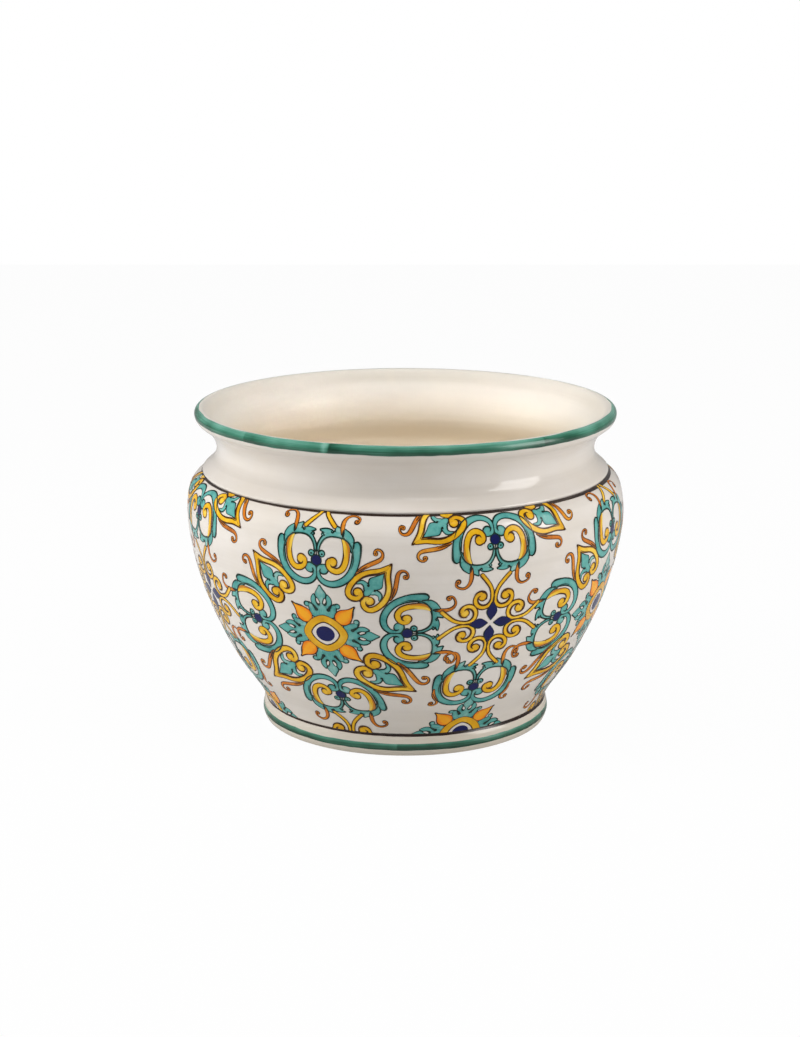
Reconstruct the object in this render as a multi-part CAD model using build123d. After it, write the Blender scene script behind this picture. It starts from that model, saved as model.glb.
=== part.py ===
from build123d import *
from math import cos, radians, sin
import os

os.makedirs("parts", exist_ok=True)

# A glazed earthenware cachepot: a round vessel that stands on a turned foot ring and
# hides a nursery pot. It is built up as a potter builds a large one: three clay sections
# are luted together, and the fired coats of glaze lie over them, zone by zone.
# Origin: centre of the resting plane. +Z is the axis of the pot. Millimetres.

# Heights, stacked from the table up
foot_height = 15.1
belly_rise = 134.4
shoulder_rise = 26.3
lower_collar_rise = 16.7
upper_collar_rise = 27.5

# Radii, over the glaze: the neck, and how far the other rings stand out beyond it
neck_radius = 129.3
rim_flare = 14.6
shoulder_spread = 9.1
belly_swell = 11.7
foot_radius = 99.9

# Rounded rim, and the small lip that overhangs the belly
rim_round = 4.05
rim_turn = radians(130)
lip_overhang = 0.8
lip_rise = 1.1

# Foot ring: bulged side, tucked-in top and bottom, bare where it rests
foot_bulge_height = 5.5
foot_crease_depth = 2.5
foot_edge_tuck = 1.6
wiped_height = 1.0
wiped_width = 2.3
foot_ring_width = 13.9
foot_inner_chamfer = 1.5

# Walls, floor and the recess under the floor
belly_wall = 7.6
collar_wall = 5.9
floor_above_seat = 2.9
floor_corner_width = 13.0
recess_depth = 7.0

# Half-lap joint between bowl and collar
tongue_height = 2.5

# Coats of glaze, pooled deeper in the shoulder crease, and the bands and lines fired into them
glaze_thickness = 0.7
shoulder_pool_depth = 1.05
line_width = 2.0
foot_band_width = 4.3
foot_band_centre_share = 0.485
rim_band_width = 5.3
rim_band_crest_share = 0.6

# Outline points between two corners: share of the height, share of the radius
foot_side_shares = [(0.42, 0.19), (0.76, 0.42)]
lower_belly_shares = [(0.066, 0.078), (0.185, 0.285), (0.36, 0.54), (0.58, 0.783), (0.80, 0.938)]
upper_belly_shares = [(0.40, 0.074), (0.703, 0.27), (0.875, 0.56)]
lower_collar_shares = [(0.11, 0.11), (0.276, 0.41), (0.519, 0.757), (0.776, 0.951)]
upper_collar_shares = [(0.235, 0.07), (0.448, 0.25), (0.655, 0.58), (0.83, 0.92)]

# Places along an outline, as shares of its length, where the wall's thickness is set off
collar_wall_shares = [0.76, 0.62, 0.47, 0.32]
belly_wall_shares = [0.91, 0.84, 0.74, 0.6, 0.45, 0.3, 0.16]

# Fineness of the curve under the glaze, of the rounded rim, and of the search for a height
coat_steps = 48
rim_steps = 8
halvings = 50


def at(radius, height):
    """A point of the half section: radius along X, height along Z."""
    return Vector(radius, 0, height)


def between(start, end, shares):
    """Outline points between two corners, from shares of the height and of the radius."""
    rise = end.Z - start.Z
    reach = end.X - start.X
    return [at(start.X + reach * across, start.Z + rise * up) for up, across in shares]


def into_clay(curve, place, depth):
    """The point on the clay side of an outline, which is its left side along the path."""
    along = curve % place
    side = Vector(-along.Z, 0, along.X)
    return curve @ place + side * depth


def clay_under(curve, first, last):
    """The clay surface under the glaze: the outline moved into the clay, with given ends."""
    places = [step / coat_steps for step in range(1, coat_steps)]
    return Spline(first, *[into_clay(curve, place, glaze_thickness) for place in places], last)


def place_at_height(curve, height):
    """The place along a rising or falling curve where it passes a height, by halving."""
    low = 0.0
    high = 1.0
    rising = (curve @ 1).Z > (curve @ 0).Z
    for _ in range(halvings):
        middle = (low + high) / 2
        if ((curve @ middle).Z < height) == rising:
            low = middle
        else:
            high = middle
    return (low + high) / 2


def zone(outline, clay, start, end):
    """One stretch of the outline and the same stretch of the clay behind it, as a pair."""
    return [(outline.trim(start, end), clay.trim(start, end))]


def clay_side(zones):
    """The clay edges of a run of zones."""
    return [clay for _, clay in zones]


def turned(edges):
    """The solid that a closed half section sweeps around the axis of the pot."""
    return revolve(Face(Wire(edges)), Axis.Z)


def coat(zones):
    """A ring of glaze between stretches of the outline and the clay behind them."""
    front = [outline for outline, _ in zones]
    back = clay_side(zones)
    start_cap = Line(back[0] @ 0, front[0] @ 0)
    end_cap = Line(front[-1] @ 1, back[-1] @ 1)
    return turned([start_cap, *front, end_cap, *back])


# Radii of the rings, and heights of the creases and corners
rim_radius = neck_radius + rim_flare
shoulder_radius = neck_radius + shoulder_spread
belly_radius = shoulder_radius + belly_swell
belly_height = foot_height + belly_rise
shoulder_height = belly_height + shoulder_rise
neck_height = shoulder_height + lower_collar_rise
pot_height = neck_height + upper_collar_rise
rim_centre = at(rim_radius - rim_round, pot_height - rim_round)
foot_inner_radius = foot_radius - foot_ring_width
floor_height = foot_height + floor_above_seat


def rim_point(radius, turn):
    """A point of the rounded rim, turned from the outer side over the crest."""
    return rim_centre + at(radius * cos(turn), radius * sin(turn))


# Corners of the outline over the glaze, from the foot over the rim to the floor
foot_edge = at(foot_radius - foot_edge_tuck, wiped_height)
foot_bulge = at(foot_radius, foot_bulge_height)
foot_crease = at(foot_radius - foot_crease_depth, foot_height)
belly_side = at(belly_radius, belly_height)
shoulder_crease = at(shoulder_radius, shoulder_height)
lip = at(shoulder_radius + lip_overhang, shoulder_height + lip_rise)
neck = at(neck_radius, neck_height)
rim_outside = rim_point(rim_round, 0)
rim_inside = rim_point(rim_round, rim_turn)
floor_edge = at(foot_inner_radius - floor_corner_width, floor_height)
floor_centre = at(0, floor_height)

# Outline over the glaze
upward = Vector(0, 0, 1)
inward = Vector(-1, 0, 0)
rim_end_direction = at(-sin(rim_turn), cos(rim_turn))
foot_side = between(foot_bulge, foot_crease, foot_side_shares)
foot_outline = Spline(foot_edge, foot_bulge, *foot_side, foot_crease)
lower_belly = between(foot_crease, belly_side, lower_belly_shares)
upper_belly = between(belly_side, shoulder_crease, upper_belly_shares)
belly_outline = Spline(foot_crease, *lower_belly, belly_side, *upper_belly, shoulder_crease)
lower_collar = between(lip, neck, lower_collar_shares)
upper_collar = between(neck, rim_outside, upper_collar_shares)
collar_points = [shoulder_crease, lip, *lower_collar, neck, *upper_collar, rim_outside]
collar_tangents = [lip - shoulder_crease, upward]
collar_outline = Spline(collar_points, tangents=collar_tangents, tangent_scalars=[1, 1])
rim_points = [rim_point(rim_round, rim_turn * step / rim_steps) for step in range(rim_steps + 1)]
rim_tangents = [upward, rim_end_direction]
rim_outline = Spline(rim_points, tangents=rim_tangents, tangent_scalars=[1, 1])

# The inside follows the outside at the thickness of the wall, smooth behind the creases
inner_points = [into_clay(collar_outline, place, collar_wall) for place in collar_wall_shares]
inner_points += [into_clay(belly_outline, place, belly_wall) for place in belly_wall_shares]
inner_path = [rim_inside, *inner_points, floor_edge]
inner_tangents = [rim_end_direction, inward]
inner_outline = Spline(inner_path, tangents=inner_tangents, tangent_scalars=[1, 1])
floor_outline = Line(floor_edge, floor_centre)

# Clay surface under the glaze
clay_rim_round = rim_round - glaze_thickness
glaze_inward = inward * glaze_thickness
glaze_down = -upward * glaze_thickness
foot_clay_edge = into_clay(foot_outline, 0, glaze_thickness)
foot_clay_crease = foot_crease + glaze_inward
shoulder_clay_crease = shoulder_crease + inward * shoulder_pool_depth
rim_clay_outside = rim_point(clay_rim_round, 0)
rim_clay_inside = rim_point(clay_rim_round, rim_turn)
floor_clay_edge = floor_edge + glaze_down
floor_clay_centre = floor_centre + glaze_down
foot_clay = clay_under(foot_outline, foot_clay_edge, foot_clay_crease)
belly_clay = clay_under(belly_outline, foot_clay_crease, shoulder_clay_crease)
collar_clay = clay_under(collar_outline, shoulder_clay_crease, rim_clay_outside)
rim_clay = clay_under(rim_outline, rim_clay_outside, rim_clay_inside)
inner_clay = clay_under(inner_outline, rim_clay_inside, floor_clay_edge)
floor_clay = Line(floor_clay_edge, floor_clay_centre)

# Places where one zone of glaze ends and the next begins
half_line = line_width / 2
half_band = foot_band_width / 2
foot_band_centre = foot_height * foot_band_centre_share
foot_band_start = place_at_height(foot_outline, foot_band_centre - half_band)
foot_band_end = place_at_height(foot_outline, foot_band_centre + half_band)
foot_line_start = place_at_height(foot_outline, foot_height - half_line)
foot_line_end = place_at_height(belly_outline, foot_height + half_line)
shoulder_line_start = 1 - line_width / belly_outline.length
rim_band_start = place_at_height(collar_outline, pot_height - rim_band_width)

# Zones of glaze, from the foot up and over the rim
foot_edge_zone = zone(foot_outline, foot_clay, 0, foot_band_start)
foot_band_zone = zone(foot_outline, foot_clay, foot_band_start, foot_band_end)
foot_top_zone = zone(foot_outline, foot_clay, foot_band_end, foot_line_start)
line_on_foot = zone(foot_outline, foot_clay, foot_line_start, 1)
line_on_belly = zone(belly_outline, belly_clay, 0, foot_line_end)
belly_zone = zone(belly_outline, belly_clay, foot_line_end, shoulder_line_start)
shoulder_line_zone = zone(belly_outline, belly_clay, shoulder_line_start, 1)
collar_zone = zone(collar_outline, collar_clay, 0, rim_band_start)
band_on_collar = zone(collar_outline, collar_clay, rim_band_start, 1)
band_on_rim = zone(rim_outline, rim_clay, 0, rim_band_crest_share)
inner_rim_zone = zone(rim_outline, rim_clay, rim_band_crest_share, 1)

# The half lap between bowl and collar: half the wall steps up inside the other half
tongue_top_height = shoulder_height + tongue_height
lap_place = place_at_height(inner_clay, tongue_top_height)
lap_tip = inner_clay @ lap_place
lap_root_radius = (inner_clay @ place_at_height(inner_clay, shoulder_height)).X
lap_radius = (lap_root_radius + shoulder_clay_crease.X) / 2
lap_foot = at(lap_radius, shoulder_height)
lap_corner = at(lap_radius, tongue_top_height)
lap = [Line(shoulder_clay_crease, lap_foot), Line(lap_foot, lap_corner), Line(lap_corner, lap_tip)]
collar_inside = inner_clay.trim(0, lap_place)
bowl_inside = inner_clay.trim(lap_place, 1)


def make_foot_ring():
    """The turned ring that the pot stands on, bare of glaze where it rests."""
    rest_outer = at(foot_clay_edge.X - wiped_width, 0)
    rest_inner = at(foot_inner_radius + foot_inner_chamfer, 0)
    chamfer_top = at(foot_inner_radius, foot_inner_chamfer)
    seat_inner = at(foot_inner_radius, foot_height)
    outside = clay_side(foot_edge_zone + foot_band_zone + foot_top_zone + line_on_foot)
    wiped_edge = Line(rest_outer, foot_clay_edge)
    seat = Line(foot_clay_crease, seat_inner)
    inside = Line(seat_inner, chamfer_top)
    chamfer_line = Line(chamfer_top, rest_inner)
    rest = Line(rest_inner, rest_outer)
    return turned([wiped_edge, *outside, seat, inside, chamfer_line, rest])


def make_bowl():
    """Floor and belly wall in one section, with a spigot that fits into the foot ring."""
    recess_centre = at(0, recess_depth)
    spigot_bottom = at(foot_inner_radius, recess_depth)
    spigot_top = at(foot_inner_radius, foot_height)
    underside = Line(recess_centre, spigot_bottom)
    spigot = Line(spigot_bottom, spigot_top)
    seat = Line(spigot_top, foot_clay_crease)
    outside = clay_side(line_on_belly + belly_zone + shoulder_line_zone)
    axis_line = Line(floor_clay_centre, recess_centre)
    return turned([underside, spigot, seat, *outside, *lap, bowl_inside, floor_clay, axis_line])


def make_collar():
    """Concave neck with its lip and rounded rim, rebated to sit over the bowl's tongue."""
    outside = clay_side(collar_zone + band_on_collar + band_on_rim + inner_rim_zone)
    return turned([*outside, collar_inside, *lap])


def make_inner_glaze():
    """The warm coat inside, from the crest of the rim to the middle of the floor."""
    front = [inner_rim_zone[0][0], inner_outline, floor_outline]
    back = [inner_rim_zone[0][1], collar_inside, bowl_inside, floor_clay]
    start_cap = Line(back[0] @ 0, front[0] @ 0)
    axis_line = Line(floor_centre, floor_clay_centre)
    return turned([start_cap, *front, axis_line, *back])


nodes = {
    "foot_ring": make_foot_ring(),
    "bowl": make_bowl(),
    "collar": make_collar(),
    "inner_glaze": make_inner_glaze(),
    "foot_edge_glaze": coat(foot_edge_zone),
    "foot_green_band": coat(foot_band_zone),
    "foot_top_glaze": coat(foot_top_zone),
    "foot_dark_line": coat(line_on_foot + line_on_belly),
    "belly_glaze": coat(belly_zone),
    "shoulder_dark_line": coat(shoulder_line_zone),
    "collar_glaze": coat(collar_zone),
    "rim_green_band": coat(band_on_collar + band_on_rim),
}

for name, solid in nodes.items():
    export_step(solid, f"parts/{name}.step")
    print(name, "volume", round(solid.volume), "solids", len(solid.solids()))
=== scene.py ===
import math

import bpy
import numpy as np
from bpy.props import FloatProperty, FloatVectorProperty, IntProperty, PointerProperty
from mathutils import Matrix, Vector


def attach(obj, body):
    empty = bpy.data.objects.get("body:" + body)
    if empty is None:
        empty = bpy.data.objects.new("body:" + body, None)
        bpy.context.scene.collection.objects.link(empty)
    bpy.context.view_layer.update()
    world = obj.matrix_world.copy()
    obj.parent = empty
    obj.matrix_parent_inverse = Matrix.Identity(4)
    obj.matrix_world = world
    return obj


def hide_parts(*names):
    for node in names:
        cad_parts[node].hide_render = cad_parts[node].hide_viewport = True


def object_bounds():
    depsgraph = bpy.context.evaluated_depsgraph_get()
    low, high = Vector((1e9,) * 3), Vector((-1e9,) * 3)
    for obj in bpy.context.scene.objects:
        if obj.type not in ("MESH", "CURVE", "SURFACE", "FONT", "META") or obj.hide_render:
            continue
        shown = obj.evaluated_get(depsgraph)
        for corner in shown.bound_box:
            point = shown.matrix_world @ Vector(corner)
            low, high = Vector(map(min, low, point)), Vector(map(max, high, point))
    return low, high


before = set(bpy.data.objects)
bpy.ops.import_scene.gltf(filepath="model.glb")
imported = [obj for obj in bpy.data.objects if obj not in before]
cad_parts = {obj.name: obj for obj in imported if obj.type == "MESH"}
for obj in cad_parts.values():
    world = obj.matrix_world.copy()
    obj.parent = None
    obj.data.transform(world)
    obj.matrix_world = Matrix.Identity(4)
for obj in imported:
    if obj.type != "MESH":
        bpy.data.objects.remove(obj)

CAD_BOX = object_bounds()

bl_info = {
    "name": "Painted cachepot",
    "version": (1, 0, 0),
    "blender": (4, 5, 0),
    "location": "3D View > Sidebar > Cachepot",
    "description": "Glazed earthenware cachepot with brush-painted bands and ornament",
    "category": "Object",
}

POT_HEIGHT = CAD_BOX[1].z


def metres(name, description, default):
    """Property of a length."""
    return FloatProperty(name=name, description=description, default=default, unit="LENGTH")


def degrees(name, description, default):
    """Property of an angle, whose default is given in degrees."""
    default = math.radians(default)
    return FloatProperty(name=name, description=description, default=default, unit="ROTATION")


def tint(name, description, default):
    """Property of a colour."""
    return FloatVectorProperty(
        name=name, description=description, default=default, subtype="COLOR"
    )


class PotSizes(bpy.types.PropertyGroup):
    """Sizes of the thrown pot, in metres. They match the solids of the frame."""

    foot_height: metres("Foot height", "Height of the crease over the foot ring", 0.0151)
    belly_rise: metres("Belly rise", "From the foot crease up to the widest place", 0.1344)
    shoulder_rise: metres("Shoulder rise", "From the widest place to the shoulder crease", 0.0263)
    lower_collar_rise: metres("Lower collar rise", "From the shoulder crease to the neck", 0.0167)
    foot_radius: metres("Foot radius", "Radius of the bulge of the foot ring", 0.0999)
    belly_radius: metres("Belly radius", "Radius of the widest place", 0.1501)
    shoulder_radius: metres("Shoulder radius", "Radius of the crease under the collar", 0.1384)
    neck_radius: metres("Neck radius", "Radius of the narrowest place of the collar", 0.1293)
    rim_radius: metres("Rim radius", "Radius of the outer side of the rim", 0.1439)
    rim_round: metres("Rim rounding", "Radius of the rounded rim", 0.00405)
    rim_turn: degrees("Rim turn", "How far the rounded rim turns inwards", 130)
    belly_wall: metres("Belly wall", "Thickness of the wall of the belly", 0.0076)
    collar_wall: metres("Collar wall", "Thickness of the wall of the collar", 0.0059)
    floor_height: metres("Floor height", "Height of the floor inside", 0.018)
    floor_radius: metres("Floor radius", "Radius of the flat floor inside", 0.073)
    glaze_depth: metres("Glaze depth", "Thickness of a coat of glaze", 0.0007)
    # painted shade: the lines are half a millimetre wider than in the solids, the extra standing
    # for the shadow under the lip and in the crease
    line_width: metres("Line width", "Width of the dark lines at shoulder and foot", 0.0025)
    foot_band_low: metres("Foot band bottom", "Lower edge of the green band on the foot", 0.0051)
    foot_band_high: metres("Foot band top", "Upper edge of the green band on the foot", 0.0095)
    rim_band_low: metres("Rim band bottom", "Lower edge of the green band under the rim", 0.2141)
    columns: IntProperty(
        name="Columns", description="Steps of the glaze surfaces round the pot", default=360, min=48
    )


class PotColours(bpy.types.PropertyGroup):
    """Colours of glaze, clay and paint, as they look in plain light."""

    white_glaze: tint("White glaze", "Ground of the outside", (0.70, 0.655, 0.61))
    # painted light: the inside is a darker cream near the rim and a brighter tan deep down, where
    # less light reaches; only the warmer hue of the tan is the glaze's own
    cream_glaze: tint("Cream glaze", "Inside, near the rim", (0.62, 0.585, 0.53))
    deep_tan_with_painted_light: tint("Tan glaze", "Inside, deep down", (0.93, 0.83, 0.675))
    clay: tint("Clay", "Bare fired clay", (0.42, 0.20, 0.11))
    pale_green: tint("Pale green", "Thin brushing of the bands", (0.105, 0.30, 0.225))
    deep_green: tint("Deep green", "Thick brushing of the bands", (0.002, 0.040, 0.020))
    dark_line: tint("Dark line", "Lines at shoulder and foot", (0.018, 0.007, 0.004))


class Photo(bpy.types.PropertyGroup):
    """Where the camera of the photograph stood."""

    distance: metres("Distance", "From the axis of the pot to the camera, along Y", 1.458)
    height: metres("Height", "Height of the camera over the table", 0.499)
    tilt: degrees("Tilt", "How far the camera looks down", 13.87)
    lens: FloatProperty(
        name="Lens", description="Focal length on a 36 mm sensor", default=75.23, unit="CAMERA"
    )


def spline(points, steps, start=None, end=None):
    """A smooth curve through points: a cubic for each stretch, joined with equal slope and
    equal curvature. It is parted by the distance between the points. start and end, where
    given, are the directions at its ends; otherwise the curvature is zero there."""
    p = np.asarray(points, float)
    gaps = np.linalg.norm(np.diff(p[:, :2], axis=0), axis=1)
    t = np.r_[0.0, np.cumsum(gaps)]
    n = len(p)
    a = np.zeros((n, n))
    b = np.zeros((n, p.shape[1]))
    inner = np.arange(1, n - 1)
    a[inner, inner - 1] = gaps[:-1]
    a[inner, inner] = 2 * (gaps[:-1] + gaps[1:])
    a[inner, inner + 1] = gaps[1:]
    slope = np.diff(p, axis=0) / gaps[:, None]
    b[inner] = 6 * (slope[1:] - slope[:-1])
    a[0, 0] = a[-1, -1] = 1.0
    if start is not None:
        unit = np.asarray(start, float) / np.linalg.norm(start)
        a[0, :2] = 2 * gaps[0], gaps[0]
        b[0] = 6 * (slope[0] - unit)
    if end is not None:
        unit = np.asarray(end, float) / np.linalg.norm(end)
        a[-1, -2:] = gaps[-1], 2 * gaps[-1]
        b[-1] = 6 * (unit - slope[-1])
    m = np.linalg.solve(a, b)
    at = np.linspace(0.0, t[-1], steps)
    k = np.clip(np.searchsorted(t, at, side="right") - 1, 0, n - 2)
    h = gaps[k][:, None]
    u = (at - t[k])[:, None]
    v = h - u
    return (
        (m[k] * v**3 + m[k + 1] * u**3) / (6 * h)
        + (p[k] / h - m[k] * h / 6) * v
        + (p[k + 1] / h - m[k + 1] * h / 6) * u
    )


def between(start, end, shares):
    """Outline points between two corners, from shares of the height and of the radius."""
    start, end = np.asarray(start), np.asarray(end)
    return [start + (end - start) * (across, up) for up, across in shares]


class Outline:
    """A stretch of the half section as (radius, height) against the length along it, with
    its outward direction."""

    def __init__(self, points):
        self.points = np.asarray(points)
        self.length = np.r_[0.0, np.cumsum(np.linalg.norm(np.diff(self.points, axis=0), axis=1))]
        slope = np.gradient(self.points, self.length, axis=0)
        slope /= np.linalg.norm(slope, axis=1)[:, None]
        self.out = np.stack([slope[:, 1], -slope[:, 0]], 1)

    def at(self, s, lift=0.0):
        """Radius and height at length s, lifted off the surface."""
        s = np.asarray(s, float)
        r, z, nr, nz = (np.interp(s, self.length, c) for c in (*self.points.T, *self.out.T))
        return r + nr * lift, z + nz * lift

    def facing(self, s):
        """Outward direction (radius, height) at length s."""
        nr, nz = (np.interp(s, self.length, c) for c in self.out.T)
        size = np.hypot(nr, nz)
        return nr / size, nz / size

    def where(self, height):
        """Length at which a rising outline passes a height."""
        return float(np.interp(height, self.points[:, 1], self.length))


# shapes of the stretches between their corners: shares of the height and of the radius
FOOT_SHARES = [(0.42, 0.19), (0.76, 0.42)]
LOWER_BELLY_SHARES = [(0.066, 0.078), (0.185, 0.285), (0.36, 0.54), (0.58, 0.783), (0.80, 0.938)]
UPPER_BELLY_SHARES = [(0.40, 0.074), (0.703, 0.27), (0.875, 0.56)]
LOWER_COLLAR_SHARES = [(0.11, 0.11), (0.276, 0.41), (0.519, 0.757), (0.776, 0.951)]
UPPER_COLLAR_SHARES = [(0.235, 0.07), (0.448, 0.25), (0.655, 0.58), (0.83, 0.92)]
# where the points of the inside lie, as shares of the length of the outside
COLLAR_WALL_SHARES = [0.76, 0.62, 0.47, 0.32]
BELLY_WALL_SHARES = [0.91, 0.84, 0.74, 0.6, 0.45, 0.3, 0.16]
# depth of the crease over the foot, lower edge of the foot's glaze (inwards, up), height of
# the foot's bulge, lip over the shoulder crease (outwards, up), and radius of the pinhole in
# the middle of the floor's glaze
FOOT_CREASE_DEPTH = 0.0025
FOOT_EDGE = (0.0016, 0.001)
FOOT_BULGE = 0.0055
LIP = (0.0008, 0.0011)
FLOOR_MIDDLE = 0.00005
# points of each stretch of the half section
STEPS = {"foot": 200, "belly": 1200, "collar": 600, "rim": 60, "inside": 900, "floor": 100}


def outlines():
    """The half section of the pot in five stretches, from the foot over the rim to the middle
    of the floor, through the same corners as the solids."""
    size = bpy.context.scene.pot_sizes
    crease = (size.foot_radius - FOOT_CREASE_DEPTH, size.foot_height)
    belly_z = size.foot_height + size.belly_rise
    shoulder_z = belly_z + size.shoulder_rise
    belly_side = (size.belly_radius, belly_z)
    shoulder = (size.shoulder_radius, shoulder_z)
    lip = (size.shoulder_radius + LIP[0], shoulder_z + LIP[1])
    neck = (size.neck_radius, shoulder_z + size.lower_collar_rise)
    rim_centre = np.array([size.rim_radius - size.rim_round, POT_HEIGHT - size.rim_round])
    turn = np.linspace(0.0, size.rim_turn, STEPS["rim"])
    rim = rim_centre + size.rim_round * np.stack([np.cos(turn), np.sin(turn)], 1)
    edge = (size.foot_radius - FOOT_EDGE[0], FOOT_EDGE[1])
    bulge = (size.foot_radius, FOOT_BULGE)
    foot_points = [edge, bulge, *between(bulge, crease, FOOT_SHARES), crease]
    foot = Outline(spline(foot_points, STEPS["foot"]))
    belly_points = [crease, *between(crease, belly_side, LOWER_BELLY_SHARES), belly_side]
    belly_points += [*between(belly_side, shoulder, UPPER_BELLY_SHARES), shoulder]
    belly = Outline(spline(belly_points, STEPS["belly"]))
    collar_points = [shoulder, lip, *between(lip, neck, LOWER_COLLAR_SHARES), neck]
    collar_points += [*between(neck, rim[0], UPPER_COLLAR_SHARES), rim[0]]
    collar_start = np.subtract(lip, shoulder)
    collar = Outline(spline(collar_points, STEPS["collar"], start=collar_start, end=(0, 1)))
    walls = [
        (collar, size.collar_wall, COLLAR_WALL_SHARES), (belly, size.belly_wall, BELLY_WALL_SHARES),
    ]
    inset = [side.at(side.length[-1] * k, -wall) for side, wall, shares in walls for k in shares]
    floor_edge = (size.floor_radius, size.floor_height)
    rim_end = (-math.sin(size.rim_turn), math.cos(size.rim_turn))
    inside = spline([rim[-1], *inset, floor_edge], STEPS["inside"], start=rim_end, end=(-1, 0))
    floor = np.linspace(floor_edge, (FLOOR_MIDDLE, size.floor_height), STEPS["floor"])[1:]
    return foot, belly, collar, Outline(rim), Outline(np.concatenate([inside, floor]))


def turned_grid(radius, height, angles):
    """Points of a surface of revolution: the point (radius, height) turned by each angle,
    where angle 0 faces the viewer (-Y) and grows towards +X."""
    radius, height, angles = np.broadcast_arrays(radius, height, angles)
    return np.stack([radius * np.sin(angles), -radius * np.cos(angles), height], -1)


def grid_faces(rows, columns, closed_columns=False, closed_rows=False):
    """Corner numbers of the quads of a grid of rows by columns, wrapped where it is closed."""
    i = np.arange(rows if closed_rows else rows - 1)[:, None]
    j = np.arange(columns if closed_columns else columns - 1)[None, :]
    i2, j2 = (i + 1) % rows, (j + 1) % columns
    here, above = i * columns, i2 * columns
    corners = np.broadcast_arrays(here + j, here + j2, above + j2, above + j)
    return np.stack(corners, -1).reshape(-1, 4)


def make_mesh(name, points, quads, uv=None, normals=None, attributes=None):
    """A mesh piece from arrays of points and quads, smooth, with a UV for each face corner."""
    mesh = bpy.data.meshes.new(name)
    mesh.vertices.add(len(points))
    mesh.vertices.foreach_set("co", np.asarray(points, np.float32).ravel())
    mesh.loops.add(quads.size)
    mesh.loops.foreach_set("vertex_index", np.asarray(quads, np.int32).ravel())
    mesh.polygons.add(len(quads))
    mesh.polygons.foreach_set("loop_start", np.arange(0, quads.size, 4, dtype=np.int32))
    mesh.polygons.foreach_set("use_smooth", np.ones(len(quads), bool))
    for key, values in (attributes or {}).items():
        layer = mesh.attributes.new(key, "FLOAT", "POINT")
        layer.data.foreach_set("value", np.asarray(values, np.float32).ravel())
    if uv is not None:
        layer = mesh.uv_layers.new(name="OFBake")
        layer.data.foreach_set("uv", np.asarray(uv, np.float32).ravel())
    mesh.update(calc_edges=True)
    mesh.validate()
    if normals is not None:
        mesh.normals_split_custom_set_from_vertices(np.asarray(normals, np.float32))
    piece = bpy.data.objects.new(name, mesh)
    bpy.context.scene.collection.objects.link(piece)
    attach(piece, "root")
    return piece


def turned_uv(quads, columns, u, v):
    """UV of each corner of a turned grid: u along the turn, v along the outline. The column
    that closes the turn gets u of a whole turn more."""
    across = u[quads % columns].astype(float)
    wraps = (across.max(1) - across.min(1)) > 0.5
    across[wraps] = np.where(across[wraps] < 0.5, across[wraps] + 1.0, across[wraps])
    return np.stack([across, v[quads // columns]], -1)


# rows of the hidden back of a coat, share of its UV that the front takes, and how near two
# points are when one is left out
BACK_ROWS = 24
FRONT_SHARE = 0.94
SAME_PLACE = 1e-6


def coat(name, stretches):
    """A closed ring of glaze: the outline turned round the axis, closed at the back by the
    same outline moved into the clay. stretches are (outline, start, end, rows)."""
    size = bpy.context.scene.pot_sizes
    angles = np.linspace(0, 2 * math.pi, size.columns, endpoint=False)
    front, out = [], []
    for outline, start, end, rows in stretches:
        s = np.linspace(start, end, rows)
        front.append(np.stack(outline.at(s), 1))
        out.append(np.stack(outline.facing(s), 1))
    front, out = np.concatenate(front), np.concatenate(out)
    keep = np.r_[True, np.linalg.norm(np.diff(front, axis=0), axis=1) > SAME_PLACE]
    front, out = front[keep], out[keep]
    sparse = slice(None, None, max(1, len(front) // BACK_ROWS))
    back = (front - out * size.glaze_depth)[::-1][sparse]
    loop = np.concatenate([front, back])
    points = turned_grid(loop[:, :1], loop[:, 1:], angles[None, :]).reshape(-1, 3)
    quads = grid_faces(len(loop), size.columns, closed_columns=True, closed_rows=True)
    length = np.r_[0, np.cumsum(np.linalg.norm(np.diff(front, axis=0), axis=1))]
    v = np.r_[length / length[-1] * FRONT_SHARE, np.linspace(FRONT_SHARE + 0.01, 1.0, len(back))]
    uv = turned_uv(quads, size.columns, angles / (2 * math.pi), v)
    facing = np.concatenate([out, -out[::-1][sparse]])
    normals = turned_grid(facing[:, :1], facing[:, 1:], angles[None, :]).reshape(-1, 3)
    return make_mesh(name, points, quads, uv, normals)


class Value:
    """A number or colour socket of a node tree, with Python's operators as Math nodes."""

    def __init__(self, tree, socket):
        self.tree, self.socket = tree, socket

    def math(self, operation, *others):
        node = self.tree.node("ShaderNodeMath", {"operation": operation}, *others)
        return node.out(0)

    def __add__(self, other):
        return self.math("ADD", self, other)

    def __mul__(self, other):
        return self.math("MULTIPLY", self, other)

    def __sub__(self, other):
        return self.math("SUBTRACT", self, other)

    def __rsub__(self, other):
        return self.math("SUBTRACT", other, self)

    def __pow__(self, other):
        return self.math("POWER", self, other)

    def step(self, low, high):
        """0 below low and 1 above high, smooth between them."""
        node = self.tree.node(
            "ShaderNodeMapRange", {"interpolation_type": "SMOOTHSTEP"}, self, low, high, 0.0, 1.0
        )
        return node.out(0)


class Node:
    """A node that was just made, with its outputs as values."""

    def __init__(self, tree, node):
        self.tree, self.node = tree, node

    def out(self, key):
        return Value(self.tree, self.node.outputs[key])


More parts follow.
